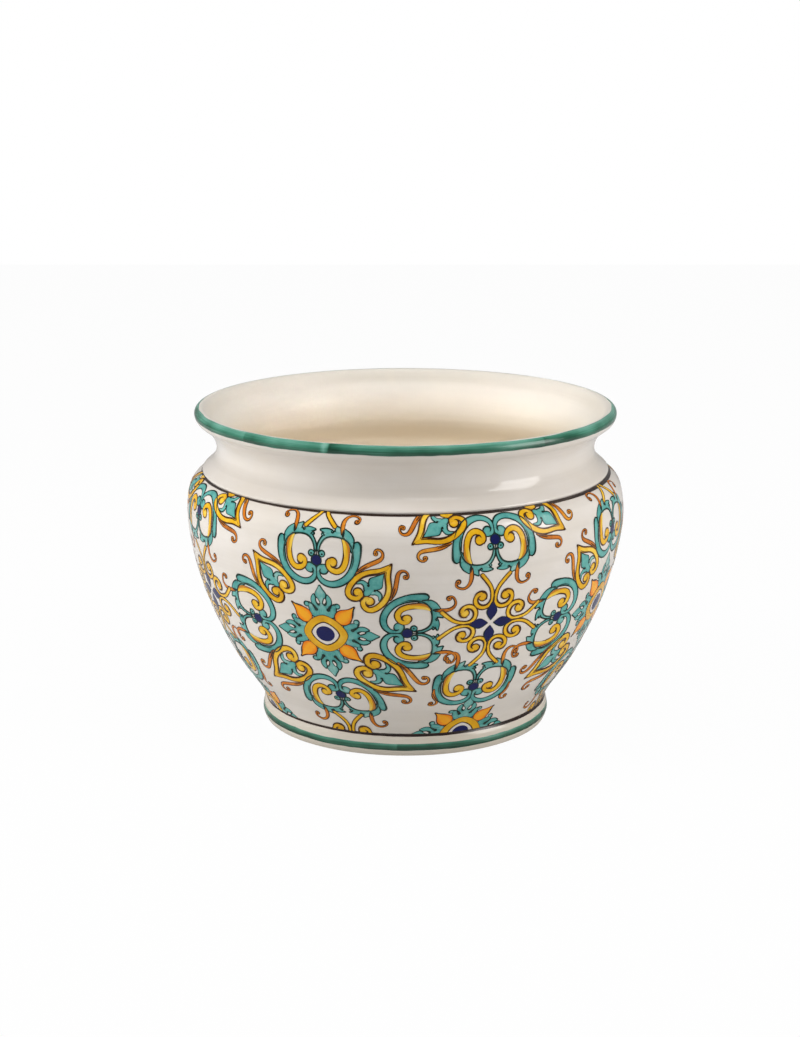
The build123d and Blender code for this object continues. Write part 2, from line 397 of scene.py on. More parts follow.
class Tree:
    """The nodes of a material or a world."""

    def __init__(self, owner):
        owner.use_nodes = True
        self.nodes, self.links = owner.node_tree.nodes, owner.node_tree.links

    def feed(self, socket, value):
        """Links a value to a socket, or sets the socket to it."""
        if isinstance(value, Value):
            self.links.new(value.socket, socket)
        elif socket.type == "RGBA":
            socket.default_value = (*tuple(value)[:3], 1.0)
        else:
            socket.default_value = value

    def node(self, kind, settings=None, *values, **named):
        """A node of a type, its settings first, then the values or links of its sockets, in
        order or by name. Of sockets that share a name, the one in use is taken."""
        node = self.nodes.new(kind)
        for key, value in (settings or {}).items():
            if key == "stops":
                ramp = node.color_ramp.elements
                while len(ramp) < len(value):
                    ramp.new(1.0)
                for element, (place, colour) in zip(ramp, value):
                    element.position, element.color = place, (*colour, 1.0)
            else:
                setattr(node, key, value)
        live = [socket for socket in node.inputs if socket.enabled]
        pairs = list(zip(live, values))
        for key, value in named.items():
            pairs += [(s, value) for s in live if s.name.replace(" ", "_").lower() == key][:1]
        for socket, value in pairs:
            self.feed(socket, value)
        return Node(self, node)

    def mix_shaders(self, factor, first, second, output):
        """Shows a mixture of two shaders through the output node of this name."""
        mixer = self.node("ShaderNodeMixShader", {}, factor, first.out(0), second.out(0))
        self.feed(self.nodes[output].inputs["Surface"], mixer.out(0))


class Finish(Tree):
    """A material made of nodes. surface() sets the shader's own sockets."""

    def __init__(self, name):
        self.material = bpy.data.materials.new(name)
        super().__init__(self.material)
        self.shader = self.nodes["Principled BSDF"]
        self.object_place = None

    def place(self):
        """Object coordinates, in metres."""
        if self.object_place is None:
            self.object_place = self.node("ShaderNodeTexCoord").out("Object")
        return self.object_place

    def axes(self):
        """Object coordinates x, y and z, each as a number."""
        parted = self.node("ShaderNodeSeparateXYZ", {}, self.place())
        return [parted.out(key) for key in "XYZ"]

    def attribute(self, name):
        return self.node("ShaderNodeAttribute", {"attribute_name": name}).out("Fac")

    def stretched(self, scale):
        """Object coordinates with a scale of their own along each axis."""
        return self.node("ShaderNodeMapping", {}, vector=self.place(), scale=scale).out(0)

    def noise(self, scale, detail=2.0, vector=None, roughness=0.5):
        """Cloudy noise from 0 to 1 whose cells are about 1/scale metres."""
        sockets = {"scale": scale, "detail": detail, "roughness": roughness}
        vector = vector or self.place()
        return self.node("ShaderNodeTexNoise", {}, vector=vector, **sockets).out(0)

    def mix(self, factor, first, second):
        """A colour between two colours."""
        mixer = self.node("ShaderNodeMix", {"data_type": "RGBA"}, factor, first, second)
        return Value(self, next(s for s in mixer.node.outputs if s.enabled))

    def bump(self, height, distance, strength):
        """A Bump node for heights of 0 to 1 over a distance in metres."""
        sockets = {"strength": strength, "distance": distance, "height": height}
        return self.node("ShaderNodeBump", {}, **sockets).out(0)

    def surface(self, **sockets):
        """The material, with these sockets of its shader set or linked."""
        for key, value in sockets.items():
            self.feed(self.shader.inputs[key.replace("_", " ")], value)
        return self.material


def dress(piece, material):
    """Gives a piece one material, in place of any that it has."""
    piece.data.materials.clear()
    piece.data.materials.append(material)


def glaze(name, colour_of, roughness=0.13):
    """A glossy glaze: its colour, softly uneven gloss, and a surface that is never quite
    flat, with wide throwing waves and a fine orange-peel."""
    finish = Finish(name)
    cloud = finish.noise(28.0, 3.0)
    fine = finish.noise(420.0, 2.0)
    rings = finish.noise(1.0, 2.0, finish.stretched((6.0, 6.0, 260.0)))
    uneven = cloud * 0.55 + rings * 0.4 + fine * 0.05
    return finish.surface(
        Base_Color=colour_of(finish, cloud),
        Roughness=fine * 0.05 + cloud * 0.04 + (roughness - 0.04),
        Specular_IOR_Level=0.45,
        Normal=finish.bump(uneven, 0.0006, 0.6),
        IOR=1.5,
    )


# where the cream glaze begins on the rounded rim and where the green band ends, as shares
# of the rounding
CREAM_EDGE = 0.6
GREEN_EDGE = 0.62


class OBJECT_OT_pot_body(bpy.types.Operator):
    """Adds the white and cream glaze over the clay"""

    bl_idname = "object.pot_body"
    bl_label = "Glazed body"

    def execute(self, context):
        size, colour = context.scene.pot_sizes, context.scene.pot_colours
        foot, belly, collar, rim, inside = outlines()

        def toned(tone, share):
            return [c * k for c, k in zip(tone, share)]

        def white(finish, cloud):
            warm = toned(colour.white_glaze, (0.97, 0.955, 0.92))
            spots = finish.noise(1500.0, 1.0).step(0.70, 0.76)
            base = finish.mix(cloud.step(0.3, 0.75), colour.white_glaze, warm)
            # painted shade: the throwing rings darken the white glaze in bands, most on the collar
            # above 0.172 m, standing for the light and shade across the rings
            rings = finish.noise(1.0, 2.0, finish.stretched((2.5, 2.5, 170.0)))
            height = finish.axes()[2]
            painted_ring_shade = rings.step(0.42, 0.72) * (height.step(0.172, 0.182) * 0.15 + 0.28)
            base = finish.mix(painted_ring_shade, base, [c * 0.87 for c in warm])
            # painted shade: the white glaze darkens and warms below 0.02 m, on the foot under the
            # overhanging belly
            low = 1.0 - height.step(0.010, 0.020)
            base = finish.mix(low * 0.7, base, toned(colour.white_glaze, (0.86, 0.83, 0.73)))
            return finish.mix(spots * 0.10, base, (0.30, 0.24, 0.18))

        def cream(finish, cloud):
            # painted light: deep is where the inside turns from the darker cream to the brighter
            # tan, lightening the lower walls that get less light
            deep = 1.0 - (finish.axes()[2] + cloud * 0.02).step(0.12, 0.245)
            streaks = finish.noise(1.0, 3.0, finish.stretched((70.0, 70.0, 14.0)))
            base = finish.mix(deep, colour.cream_glaze, colour.deep_tan_with_painted_light)
            streaked = streaks.step(0.45, 0.8) * 0.10
            return finish.mix(streaked, base, [c * 0.86 for c in colour.deep_tan_with_painted_light])

        white_material = glaze("white_glaze", white)
        cream_material = glaze("cream_glaze", cream, 0.36)
        over_line = size.line_width / 4
        rim_end = rim.length[-1]
        parting = rim_end * CREAM_EDGE
        pieces = [
            ("glaze_foot", [(foot, 0.0, foot.length[-1], 24)],
             ("foot_edge_glaze", "foot_top_glaze"), white_material, "white_glaze"),
            ("glaze_belly", [(belly, over_line, belly.length[-1], 100)],
             ("belly_glaze",), white_material, "white_glaze"),
            ("glaze_collar", [(collar, 0.0, collar.length[-1], 60), (rim, 0.0, parting, 12)],
             ("collar_glaze",), white_material, "white_glaze"),
            ("glaze_inside", [(rim, parting, rim_end, 8), (inside, 0.0, inside.length[-1], 120)],
             ("inner_glaze",), cream_material, "cream_glaze"),
        ]
        for name, stretches, nodes, material, slot in pieces:
            piece = coat(name, stretches)
            dress(piece, material)
            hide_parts(*nodes)
        return {"FINISHED"}


def rim_edge_place(collar, height):
    """Length along the collar at which the part over its neck passes a height."""
    above = collar.points[:, 1] > collar.points[len(collar.points) // 2, 1]
    return float(np.interp(height, collar.points[above, 1], collar.length[above]))


def wavy(angles, size, seed, slow, fast):
    """A hand's unsteadiness round the pot: sines of whole numbers of waves, from slow up to
    fast, smaller the faster they are, with phases from the seed."""
    dice = np.random.default_rng(seed)
    waves = np.arange(slow, fast)
    weight = dice.uniform(0.4, 1.0, len(waves)) / waves**0.75
    phase = dice.uniform(0, 2 * math.pi, len(waves))
    total = (weight * np.sin(np.outer(angles, waves) + phase)).sum(1)
    return size * total / np.sqrt((weight**2).sum())


def brush_load(angles, starts, fade):
    """How full the brush is round the pot: 1 where a stroke starts, falling with distance
    along the turn until the next start. starts are angles in degrees."""
    starts = np.sort(np.radians(starts) % (2 * math.pi))
    turn = angles % (2 * math.pi)
    last = starts[np.searchsorted(starts, turn, side="right") - 1]
    gone = (turn - last) % (2 * math.pi)
    return np.exp(-gone / fade)


# steps of a band round the pot, and how far bands and lines stand over the glaze
BAND_COLUMNS = 720
BAND_LIFT = 0.00009
LINE_LIFT = 0.00012
# how far the lower and the upper edge of the rim band waver, and both edges of the others
RIM_WAVER = (0.00022, 0.00045)
FOOT_WAVER = 0.00016
LINE_WAVER = 0.00010
# where the strokes of the bands begin, in degrees from the front
RIM_STROKES = (-19.6, 160.0)
RIM_RETOUCHES = (-46.2, 38.0, 95.0, 222.0, 275.0)
FOOT_STROKES = (-3.4, 70.0, 150.0, 215.0, 290.0)
# pale seam of the rim band: its place and its width, in degrees
RIM_SEAM = (-21.0, 0.7)


def painted_band(name, outline, low, high, lift, rows, load_of):
    """A strip of paint round the pot between two lengths along the outline, each given for
    every angle. It stands off the glaze by a little more than lift in its middle and by half
    of lift at its edges, where v is 0 and 1: lift times (1.15 - 0.65 (2v - 1)^8)."""
    columns = BAND_COLUMNS
    angles = np.linspace(0, 2 * math.pi, columns, endpoint=False)
    v = np.linspace(0, 1, rows)[:, None]
    s = low(angles)[None, :] + (high(angles) - low(angles))[None, :] * v
    rise = lift * (1.15 - np.abs(2 * v - 1) ** 8 * 0.65) + 0 * s
    r, z = outline.at(s, rise)
    points = turned_grid(r, z, angles[None, :]).reshape(-1, 3)
    quads = grid_faces(rows, columns, closed_columns=True)
    nr, nz = outline.facing(s)
    normals = turned_grid(nr, nz, angles[None, :]).reshape(-1, 3)
    uv = turned_uv(quads, columns, angles / (2 * math.pi), v[:, 0])
    across = np.broadcast_to(v, s.shape)
    load = np.broadcast_to(load_of(angles)[None, :], s.shape)
    return make_mesh(name, points, quads, uv, normals, {"across": across, "load": load})


def paint_green(name):
    """Brushed green: pale where it is thin, deep where the stroke is full, in streaks that
    run round the pot, and deeper towards its lower edge as painted shade. across is 0 at
    the lower edge of the band."""
    colour = bpy.context.scene.pot_colours
    finish = Finish(name)
    across = finish.attribute("across")
    load = finish.attribute("load")
    streaks = finish.noise(1.0, 4.0, finish.stretched((26.0, 26.0, 1500.0)), 0.6)
    cloud = finish.noise(55.0, 3.0)
    # painted shade: (1 - across) makes each band deeper towards its lower edge, which faces away
    # from the light overhead
    full = (1.0 - across) * 0.75 + streaks * 0.8 + cloud * 0.4 + load * 0.45 - 0.45
    edge = (across * (1.0 - across) * 4.0).step(0.0, 0.32)
    body = finish.node(
        "ShaderNodeValToRGB",
        {
            "stops": [
                (0.0, (0.17, 0.38, 0.30)), (0.25, colour.pale_green), (0.5, (0.045, 0.19, 0.125)),
                (0.75, (0.014, 0.095, 0.055)), (1.0, colour.deep_green),
            ]
        },
        full,
    ).out(0)
    thin = finish.mix(0.35, body, (0.20, 0.36, 0.29))
    return finish.surface(
        Base_Color=finish.mix(edge, thin, body),
        Roughness=streaks * 0.06 + 0.10,
        Normal=finish.bump(streaks, 0.00025, 0.5),
        IOR=1.5,
    )


class OBJECT_OT_pot_bands(bpy.types.Operator):
    """Paints the green bands on rim and foot and the dark lines at shoulder and foot"""

    bl_idname = "object.pot_bands"
    bl_label = "Bands and lines"

    def execute(self, context):
        size, colour = context.scene.pot_sizes, context.scene.pot_colours
        foot, belly, collar, rim = outlines()[:4]
        over_rim = Outline(np.concatenate([collar.points, rim.points[1:]]))
        round_foot = Outline(np.concatenate([foot.points, belly.points[1:]]))
        crest = collar.length[-1] + rim.length[-1] * GREEN_EDGE
        rim_low = rim_edge_place(collar, size.rim_band_low)

        def rim_lower(angles):
            return rim_low + wavy(angles, RIM_WAVER[0], 11, 3, 90)

        def rim_upper(angles):
            return crest + wavy(angles, RIM_WAVER[1], 12, 2, 40)

        def rim_load(angles):
            dark = brush_load(angles, RIM_STROKES, 0.05) * 1.2
            dark += brush_load(angles, RIM_RETOUCHES, 0.12) * 0.5
            away = np.degrees((angles + math.pi) % (2 * math.pi) - math.pi) - RIM_SEAM[0]
            seam = np.exp(-((away / RIM_SEAM[1]) ** 2))
            return dark - seam * 1.1 + wavy(angles, 0.22, 13, 4, 60)

        band = painted_band("rim_green", over_rim, rim_lower, rim_upper, BAND_LIFT, 16, rim_load)
        dress(band, paint_green("brushed_green_rim"))
        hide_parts("rim_green_band")

        low, high = foot.where(size.foot_band_low), foot.where(size.foot_band_high)

        def foot_load(angles):
            dark = brush_load(angles, FOOT_STROKES, 0.9)
            return dark * 0.9 + wavy(angles, 0.10, 23, 4, 60)

        band = painted_band(
            "foot_green", foot,
            lambda angles: low + wavy(angles, FOOT_WAVER, 21, 3, 70),
            lambda angles: high + wavy(angles, FOOT_WAVER, 22, 3, 70),
            BAND_LIFT, 10, foot_load,
        )
        dress(band, paint_green("brushed_green_foot"))
        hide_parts("foot_green_band")

        def dark(name):
            finish = Finish(name)
            across = finish.attribute("across")
            load = finish.attribute("load")
            streaks = finish.noise(1.0, 3.0, finish.stretched((40.0, 40.0, 900.0)))
            edge = (across * (1.0 - across) * 4.0).step(0.0, 0.75)
            thin = (1.0 - edge) * 0.5 + (1.0 - load) * 0.35 + streaks * 0.35 - 0.1
            base = finish.mix(thin.step(0.3, 1.05), colour.dark_line, (0.115, 0.070, 0.048))
            return finish.surface(Base_Color=base, Roughness=streaks * 0.1 + 0.14, IOR=1.5)

        half = size.line_width / 2
        over_shoulder = Outline(np.concatenate([belly.points, collar.points[1:]]))
        under_lip, in_crease = belly.length[-1] - half * 0.9, foot.length[-1]
        lines = [
            ("shoulder_line", over_shoulder, under_lip, half, "shoulder_dark_line", 31),
            ("foot_line", round_foot, in_crease, half * 0.95, "foot_dark_line", 41),
        ]
        for name, outline, middle, reach, node, seed in lines:
            # painted shade: the lower edge of each line reaches up to 45% further down on the +X
            # side, away from the brighter left window, and less far on the -X side
            piece = painted_band(
                name, outline,
                lambda angles: middle - reach * (1.0 + 0.45 * np.sin(angles))
                + wavy(angles, LINE_WAVER, seed, 3, 90),
                lambda angles: middle + reach + wavy(angles, LINE_WAVER, seed + 1, 3, 90),
                LINE_LIFT, 7, lambda angles: 0.5 + wavy(angles, 0.3, seed + 2, 3, 50),
            )
            dress(piece, dark("dark_" + name))
            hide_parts(node)
        return {"FINISHED"}


# strokes of a motif: paint, width of its outline, then points (x, y, width of the brush) in mm.
# A stroke of one point is a round dab of that radius. Only the right half of a motif is
# written, and its left half is the mirror image; what lies at x = 0 is in a table of its own.
WREATH_SIDE = (
    ("turquoise", 0.5, (1.1, -7, 1.8), (1.2, -9.4, 2), (3.9, -13.3, 2.8), (9.6, -15.1, 3.4),
     (16.2, -13.2, 3.7), (21.8, -8.4, 3.8), (25.1, -1.4, 4.1), (26.1, 4.6, 4.5), (26.3, 8.8, 4.7),
     (26, 12.8, 4.6)),
    ("turquoise", 0.5, (24.4, 6.5, 2.2), (22.7, 11.6, 3.6), (19.4, 15.5, 3.6), (14.4, 17.3, 2.8),
     (8.8, 17.2, 2.4), (4.8, 15.3, 1.8), (2.4, 12, 1.3), (1.3, 9, 1.1), (1, 6.4, 0.9)),
    ("turquoise", 0.5, (22.6, 12.4, 3.4), (20.6, 15.9, 3.8), (18.8, 18.6, 2.6), (17.6, 20.6, 0.2)),
    ("turquoise", 0.5, (16.2, 17.2, 3.4), (14.3, 18.9, 4.4), (12.9, 20.6, 2.8), (11.4, 22.5, 0.2)),
    ("turquoise", 0.5, (10, 17.4, 3.2), (7, 18.6, 3.2), (4.6, 19.2, 2), (2, 19.4, 0.2)),
    ("turquoise", 0.5, (7.2, 16.8, 3.4), (5, 16.9, 2.6), (2.9, 16.6, 0.2)),
    ("turquoise", 0.5, (1.15, -8.6, 2), (1.3, -6, 2.2), (2.5, -4.2, 2.4), (4.2, -3.9, 2.2)),
    ("turquoise", 0.5, (4.7, -5.3, 2.8)),
    ("turquoise", 0.5, (3.5, 4.3, 1.6)),
    ("dark", 0, (3.7, 4.1, 0.65)),
    ("dark", 0, (0.9, 7, 0.3), (1.3, 4.6, 0.8), (2.4, 3, 0.7)),
    ("dark", 0, (3.2, -5.2, 0.3), (2.4, -6.2, 0.9), (2.3, -7.3, 1.2), (3, -8.2, 1),
     (4.6, -8.6, 0.5)),
    ("dark", 0, (16.6, 15.8, 1.2), (16.8, 17.4, 1.6), (16.6, 19, 1), (16.8, 20.6, 0.3)),
    ("dark", 0, (11, 20.4, 0.3), (10.5, 18.6, 0.9), (9.6, 18.1, 1), (8.9, 19.4, 0.5)),
    ("dark", 0, (24, 8.6, 0.5), (24, 10.4, 1.1), (24.1, 11.8, 0.9), (23.4, 13.4, 0.4)),
    ("dark", 0, (4.8, 15.9, 0.9), (3.9, 17.1, 0.8), (2.4, 18, 0.3)),
    ("dark", 0, (22.6, -4.2, 0.3), (24, 0, 0.6), (24.1, 4.4, 0.8), (22.9, 9.2, 0.9),
     (20.6, 12.6, 1), (17, 14.9, 1), (12, 15.7, 1), (7.2, 15.3, 1), (4, 13, 1), (2.15, 9.4, 0.9),
     (1.6, 6, 0.7)),
    ("dark", 0, (27.7, -2.6, 0.3), (28.6, 3, 0.9), (28.8, 8, 1.2), (28.2, 11.6, 1.3),
     (26.3, 13.3, 1), (24.7, 12.6, 0.6), (24.2, 11, 0.5)),
    ("dark", 0, (7, -17.1, 0.3), (12, -17, 0.7), (18.6, -14.4, 0.9), (24.2, -9, 0.8),
     (27, -3.6, 0.3)),
    ("yellow", 0.42, (17, 15, 0.8), (19.5, 9.6, 2.8), (19.9, 4.8, 3.1), (18.9, -1, 3.2),
     (16.6, -4.8, 3.2), (13.3, -6.2, 3.2), (10, -5, 3.1), (8.2, -2.4, 2.9), (8.5, 0, 2.7),
     (9.8, 1.2, 2.2)),
    ("yellow", 0.42, (10.8, -0.3, 2.6)),
    ("glow", 0, (16.6, 14.6, 1), (17.9, 11.6, 1.6), (18.5, 7.6, 1.4), (18.8, 3.6, 0.5)),
    ("brown", 0, (13.8, -1.4, 0.4), (12.9, -3, 1), (11.2, -3.6, 1.2), (9.9, -2.9, 0.7),
     (9.6, -1.8, 0.3)),
    ("shade", 0, (18.4, 13.8, 0.5), (20.4, 10.6, 1.5), (21.1, 6, 1.2), (20.9, 0.5, 0.4)),
    ("orange", 0.32, (16.6, 17.4, 1), (16.1, 21.5, 1.9), (16.1, 25.5, 1.9), (17.3, 29, 1.5),
     (20, 31, 1), (23.4, 30.4, 0.7), (25.6, 28.4, 0.7), (25.6, 26.6, 0.8)),
    ("orange", 0.4, (24.3, 26.4, 1.3)),
    ("brown", 0, (24.5, 26.5, 0.65)),
)
WREATH_MIDDLE = (
    ("dark", 0, (0, 11.6, 0.3), (0, 9.4, 0.8), (0, 6, 0.6), (0, 3, 0.9)),
    ("dark", 0, (0, -3.6, 0.8), (0, -8, 0.6), (0, -12.6, 0.3)),
    ("navy", 0.4, (0, 0, 3.1)),
)

SPADE_SIDE = (
    ("yellow", 0.45, (0, 29.6, 0.2), (0.4, 27.2, 1.9), (2.3, 22.4, 3), (6.6, 17.2, 3),
     (9.8, 12.4, 3), (11.4, 6.8, 3), (11.3, 1.4, 3), (9.9, -3.2, 3.1), (7.4, -5.5, 3.1),
     (4.4, -5.3, 3.1), (2.2, -3, 2.9), (2, -0.4, 2.8), (3.4, 1.4, 2.4)),
    ("yellow", 0.45, (4.5, 0.2, 2.6)),
    ("brown", 0, (7.5, -0.4, 0.4), (6.6, -2.1, 1), (5, -3, 1.2), (3.6, -2.4, 0.7),
     (3.2, -1.4, 0.3)),
    ("brown", 0, (12.8, -1, 0.3), (11.2, -4.9, 0.6), (8, -7, 0.7), (4.4, -6.9, 0.6),
     (1.8, -5.2, 0.4)),
    ("brown", 0, (0.4, 24, 0.4), (2.9, 19.6, 0.7), (7, 14.6, 0.6), (9.2, 9.6, 0.4), (9.8, 4, 0.2)),
    ("turquoise", 0.42, (1, 4.8, 3), (3.9, 7.6, 2.7), (6.6, 7.7, 2.1), (8.9, 4.6, 0.3)),
    ("dark", 0, (4.4, 9.9, 0.4), (2.9, 9.2, 1), (2.2, 8, 1.4), (3.4, 8.2, 0.5)),
    ("orange", 0.32, (13.6, 9.6, 0.4), (12.4, 15.5, 1.9), (10.2, 20.8, 2.1), (7.9, 25.5, 2),
     (7, 28.8, 1.6), (8.2, 31.4, 1), (11, 32, 0.8), (13, 30.2, 0.8), (12.9, 28.6, 0.9)),
    ("orange", 0.36, (11.7, 28.6, 1.1)),
    ("brown", 0, (11.8, 28.7, 0.55)),
    ("brown", 0, (13.6, 11, 0.4), (12.6, 14, 0.8), (11, 18.6, 0.4)),
)
SPADE_MIDDLE = (
    ("turquoise", 0.42, (0, 1.4, 1.6), (0, 4.6, 4.2), (0, 8.4, 4.4), (0, 12.4, 8.6), (0, 16.2, 5.6),
     (0, 21.2, 0.3)),
    ("brown", 0, (0, -4.6, 0.3), (0, -1.8, 1.5), (0, 1, 0.6)),
    ("brown", 0, (0, 31, 0.2), (0, 28, 0.8)),
)

CLUSTER_SIDE = (
    ("turquoise", 0.42, (4.6, 12.5, 6), (4.8, 16, 7.4), (4.4, 19.4, 8.2), (4, 21.2, 7)),
    ("turquoise", 0.42, (6.4, 15, 3.4), (7.4, 18.6, 3.2), (8, 21.6, 2.6)),
    ("turquoise", 0.42, (8.2, 21.5, 1.3), (9.6, 21.6, 1.4), (10.4, 21.3, 1.6)),
    ("turquoise", 0.42, (10.4, 21.2, 1.35)),
    ("turquoise", 0.42, (3.4, 20, 5), (4.5, 23.2, 4.4), (5, 25.8, 3.2), (4.7, 28.4, 0.4)),
    ("white", 0.42, (1.5, 22.6, 0.8), (2.4, 24.2, 1.5), (2.7, 26, 0.5)),
    ("dark", 0, (1.3, 21.8, 1.2), (2.3, 21.4, 1.2), (3.2, 22.4, 0.8), (3.7, 24.4, 0.4)),
    ("dark", 0, (4.1, 18.3, 1.3)),
    ("dark", 0, (4.3, 18.6, 2), (5.6, 20.6, 1.5), (7.2, 22.8, 0.4)),
    ("dark", 0, (10.6, 22.9, 0.4), (9.2, 22.7, 0.8), (8.8, 21.4, 0.5)),
)
CLUSTER_MIDDLE = (
    ("turquoise", 0.42, (0, 12, 8), (0, 17, 9), (0, 20.6, 5), (0, 22.6, 2.6)),
    ("turquoise", 0.42, (0, 21, 2.2), (0, 24.6, 2.8), (0, 28.8, 6.8), (0, 31.8, 3.6),
     (0, 34.6, 0.3)),
)
ROSETTE_BUD = (
    ("bud", 0.36, (0, 13, 6.6), (0, 16, 9), (0, 19.2, 10.2), (0, 22.4, 8), (0, 25.2, 3.9),
     (0, 30.2, 0.2)),
    ("dark", 0, (4.9, 19.5, 0.3), (3.6, 24, 0.6), (1, 27.6, 0.9), (-0.3, 30.4, 0.3)),
)
STAR_SIDE = (
    ("yellow", 0.4, (10.4, 35, 2), (5.6, 29.6, 1.9), (2.4, 24.8, 1.7), (1.2, 19.5, 1.6),
     (1.5, 14.9, 1.7), (4.5, 11.9, 1.9), (8.6, 11.7, 2), (12, 14.1, 2.2), (12.8, 18, 2.4),
     (10.8, 20.9, 2.5), (8.3, 21.3, 2.1)),
    ("yellow", 0.4, (8.2, 19.2, 2.55)),
    ("brown", 0, (2.6, 21.6, 0.3), (2.5, 16.8, 0.8), (5, 13.5, 1), (8.8, 13.7, 1.1),
     (11.2, 16.4, 1.1), (11.1, 18.8, 0.9), (9.7, 19.7, 0.5)),
    ("brown", 0, (5.1, 17, 0.3), (5.2, 20.2, 1), (7.2, 22.7, 1.2), (10.4, 23.1, 1),
     (13.2, 21.4, 0.7), (14.3, 18.4, 0.3)),
)
STAR_MIDDLE = (
    ("navy", 0.3, (0, 2.4, 0.2), (0, 5.4, 4.8), (0, 8.6, 6.7), (0, 11.6, 4.6), (0, 15.2, 0.6)),
    ("brown", 0, (0, 13.6, 0.8), (0, 15.8, 1.4), (0, 19.6, 0.7), (0, 24, 0.3)),
)
TENDRIL_SIDE = (
    ("orange", 0.32, (27.4, -1, 0.4), (27, -5, 1.5), (25.2, -9.6, 1.6), (23.4, -12.4, 1.1),
     (23.6, -15.4, 0.8), (26.2, -16.6, 0.7), (28.2, -15.2, 0.8)),
    ("orange", 0.36, (27.4, -14.2, 1.1)),
    ("brown", 0, (27.5, -14.3, 0.55)),
)

# how full the outlines are drawn, as a share of their widths in the tables
OUTLINE_SHARE = 1.85
# how far an outline is off its stroke, in mm, each to a side of its own
OUTLINE_DRIFT = 0.24
# paint: (layer that it is laid in, paint of its outline)
PAINTS = {
    "turquoise": (0, "dark"), "orange": (2, "brown"), "bud": (2, "brown"),
    "yellow": (4, "brown"), "glow": (6, None), "shade": (6, None), "navy": (6, "dark"),
    "white": (6, "dark"), "dark": (8, None), "brown": (8, None),
}
# heights in mm: of the lowest layer over the glaze, and of each layer over the one below it
PAINT_LIFT = 0.05
LAYER_LIFT = 0.02
# how far a stroke lies over the stroke before it, as a share of a layer
STROKE_SHARE = 0.004
# in mm: steps along a stroke and along its outline, widest quads across them, and the half
# width under which they are one quad across
STROKE_STEP = 0.8
OUTLINE_STEP = 1.3
QUAD_WIDTH = 1.7
THIN_STROKE = 0.8
# how far the ornament keeps off the two creases of the belly, in mm
LOW_MARGIN, HIGH_MARGIN = 1.0, 0.8
# rounded middle of the rosette: paint, layer, half widths across and up, power of its outline
ROSETTE_MIDDLE = (
    ("brown", 9, 15.2, 14.5, 1.62), ("yellow", 10, 14.8, 14.1, 1.62), ("brown", 11, 9.9, 9.5, 1.55),
    ("white", 12, 8.9, 8.5, 1.55), ("navy", 13, 6.3, 6.0, 2.0),
)
# places of the motifs for a column of rosettes and a column of stars: turn round the pot
# (degrees), length up the belly (mm), turn in its own plane (degrees), scale
ROSETTE_COLUMNS = (-21.5, 66.6, 157.4, 248.2)
STAR_COLUMNS = (22.5, 112.0, 202.8, 293.7)
ROSETTE_PLACES = (
    ("rosette", 0.0, 91.0, 0, 1.0), ("wreath", -0.45, 143.5, 0, 1.0),
    ("wreath", 0.3, 38.0, 180, 1.0), ("wreath", 21.9, 94.6, -90, 1.0),
    ("wreath", -21.8, 93.4, 90, 1.0), ("star", 0.0, -16.5, 0, 1.0),
    ("star", 0.0, 200.0, 0, 1.0), ("spade", 11.1, 120.2, -39, 1.0),
    ("spade", -11.6, 119.9, 42, 1.0), ("spade", 11.6, 64.8, -124, 1.12),
    ("spade", -12.5, 62.5, 125, 1.1),
)
STAR_PLACES = (
    ("star", 0.1, 99.6, 0, 1.0), ("wreath", -0.4, 156.5, 180, 1.0),
    ("wreath", -0.8, 46.0, 0, 1.0), ("tendrils", -0.8, 46.0, 0, 1.0),
    ("rosette", -0.8, 0.0, 0, 1.0), ("spade", 11.3, 173.0, -124, 1.0),
    ("spade", -11.3, 173.0, 124, 1.0),
)


def brush_stroke(points, widen, step):
    """Grid of a stroke: a spline through its points, as wide as the brush at each of them and
    widened all round, with half-round ends: width times sqrt(1 - (1 - d / end)^2). It has
    enough quads across to follow the curve of the pot."""
    fine = spline(points, 30 * len(points))
    run = np.diff(fine[:, :2], axis=0)
    s = np.r_[0, np.cumsum(np.linalg.norm(run, axis=1))]
    first, last = run[0] / np.linalg.norm(run[0]), run[-1] / np.linalg.norm(run[-1])
    head = np.r_[fine[0, :2] - first * widen, fine[0, 2]]
    tail = np.r_[fine[-1, :2] + last * widen, fine[-1, 2]]
    fine = np.vstack([head, fine, tail])
    s = np.r_[0, s + widen, s[-1] + 2 * widen]
    ends = [min(max(width, 0.05) / 2 + widen, s[-1] / 3) for width in (fine[0, 2], fine[-1, 2])]
    caps = np.array([0.0, 0.04, 0.16, 0.4, 0.75])
    body = np.linspace(ends[0], s[-1] - ends[1], max(4, int(s[-1] / step) + 1))
    at = np.r_[caps * ends[0], body, s[-1] - caps[::-1] * ends[1]]
    x, y, width = (np.interp(at, s, fine[:, k]) for k in range(3))
    half = np.maximum(width, 0.05) / 2 + widen
    for gone, end in ((at, ends[0]), (s[-1] - at, ends[1])):
        half = half * np.sqrt(np.maximum(1 - np.clip(1 - gone / end, 0, 1) ** 2, 0.0004))
    middle = np.stack([x, y], 1)
    along = np.gradient(middle, at, axis=0)
    along /= np.linalg.norm(along, axis=1)[:, None]
    side = np.stack([-along[:, 1], along[:, 0]], 1)
    columns = 2 if half.max() < THIN_STROKE else 2 * math.ceil(half.max() / QUAD_WIDTH) + 1
    across = np.linspace(-1.0, 1.0, columns)
    grid = middle[:, None] + side[:, None] * (half[:, None] * across)[..., None]
    worn = np.minimum(at, s[-1] - at) / max(s[-1], 1.0)
    edge = np.maximum(np.abs(across)[None, :], 1 - np.clip(worn * 6, 0, 1)[:, None])
    return grid, edge


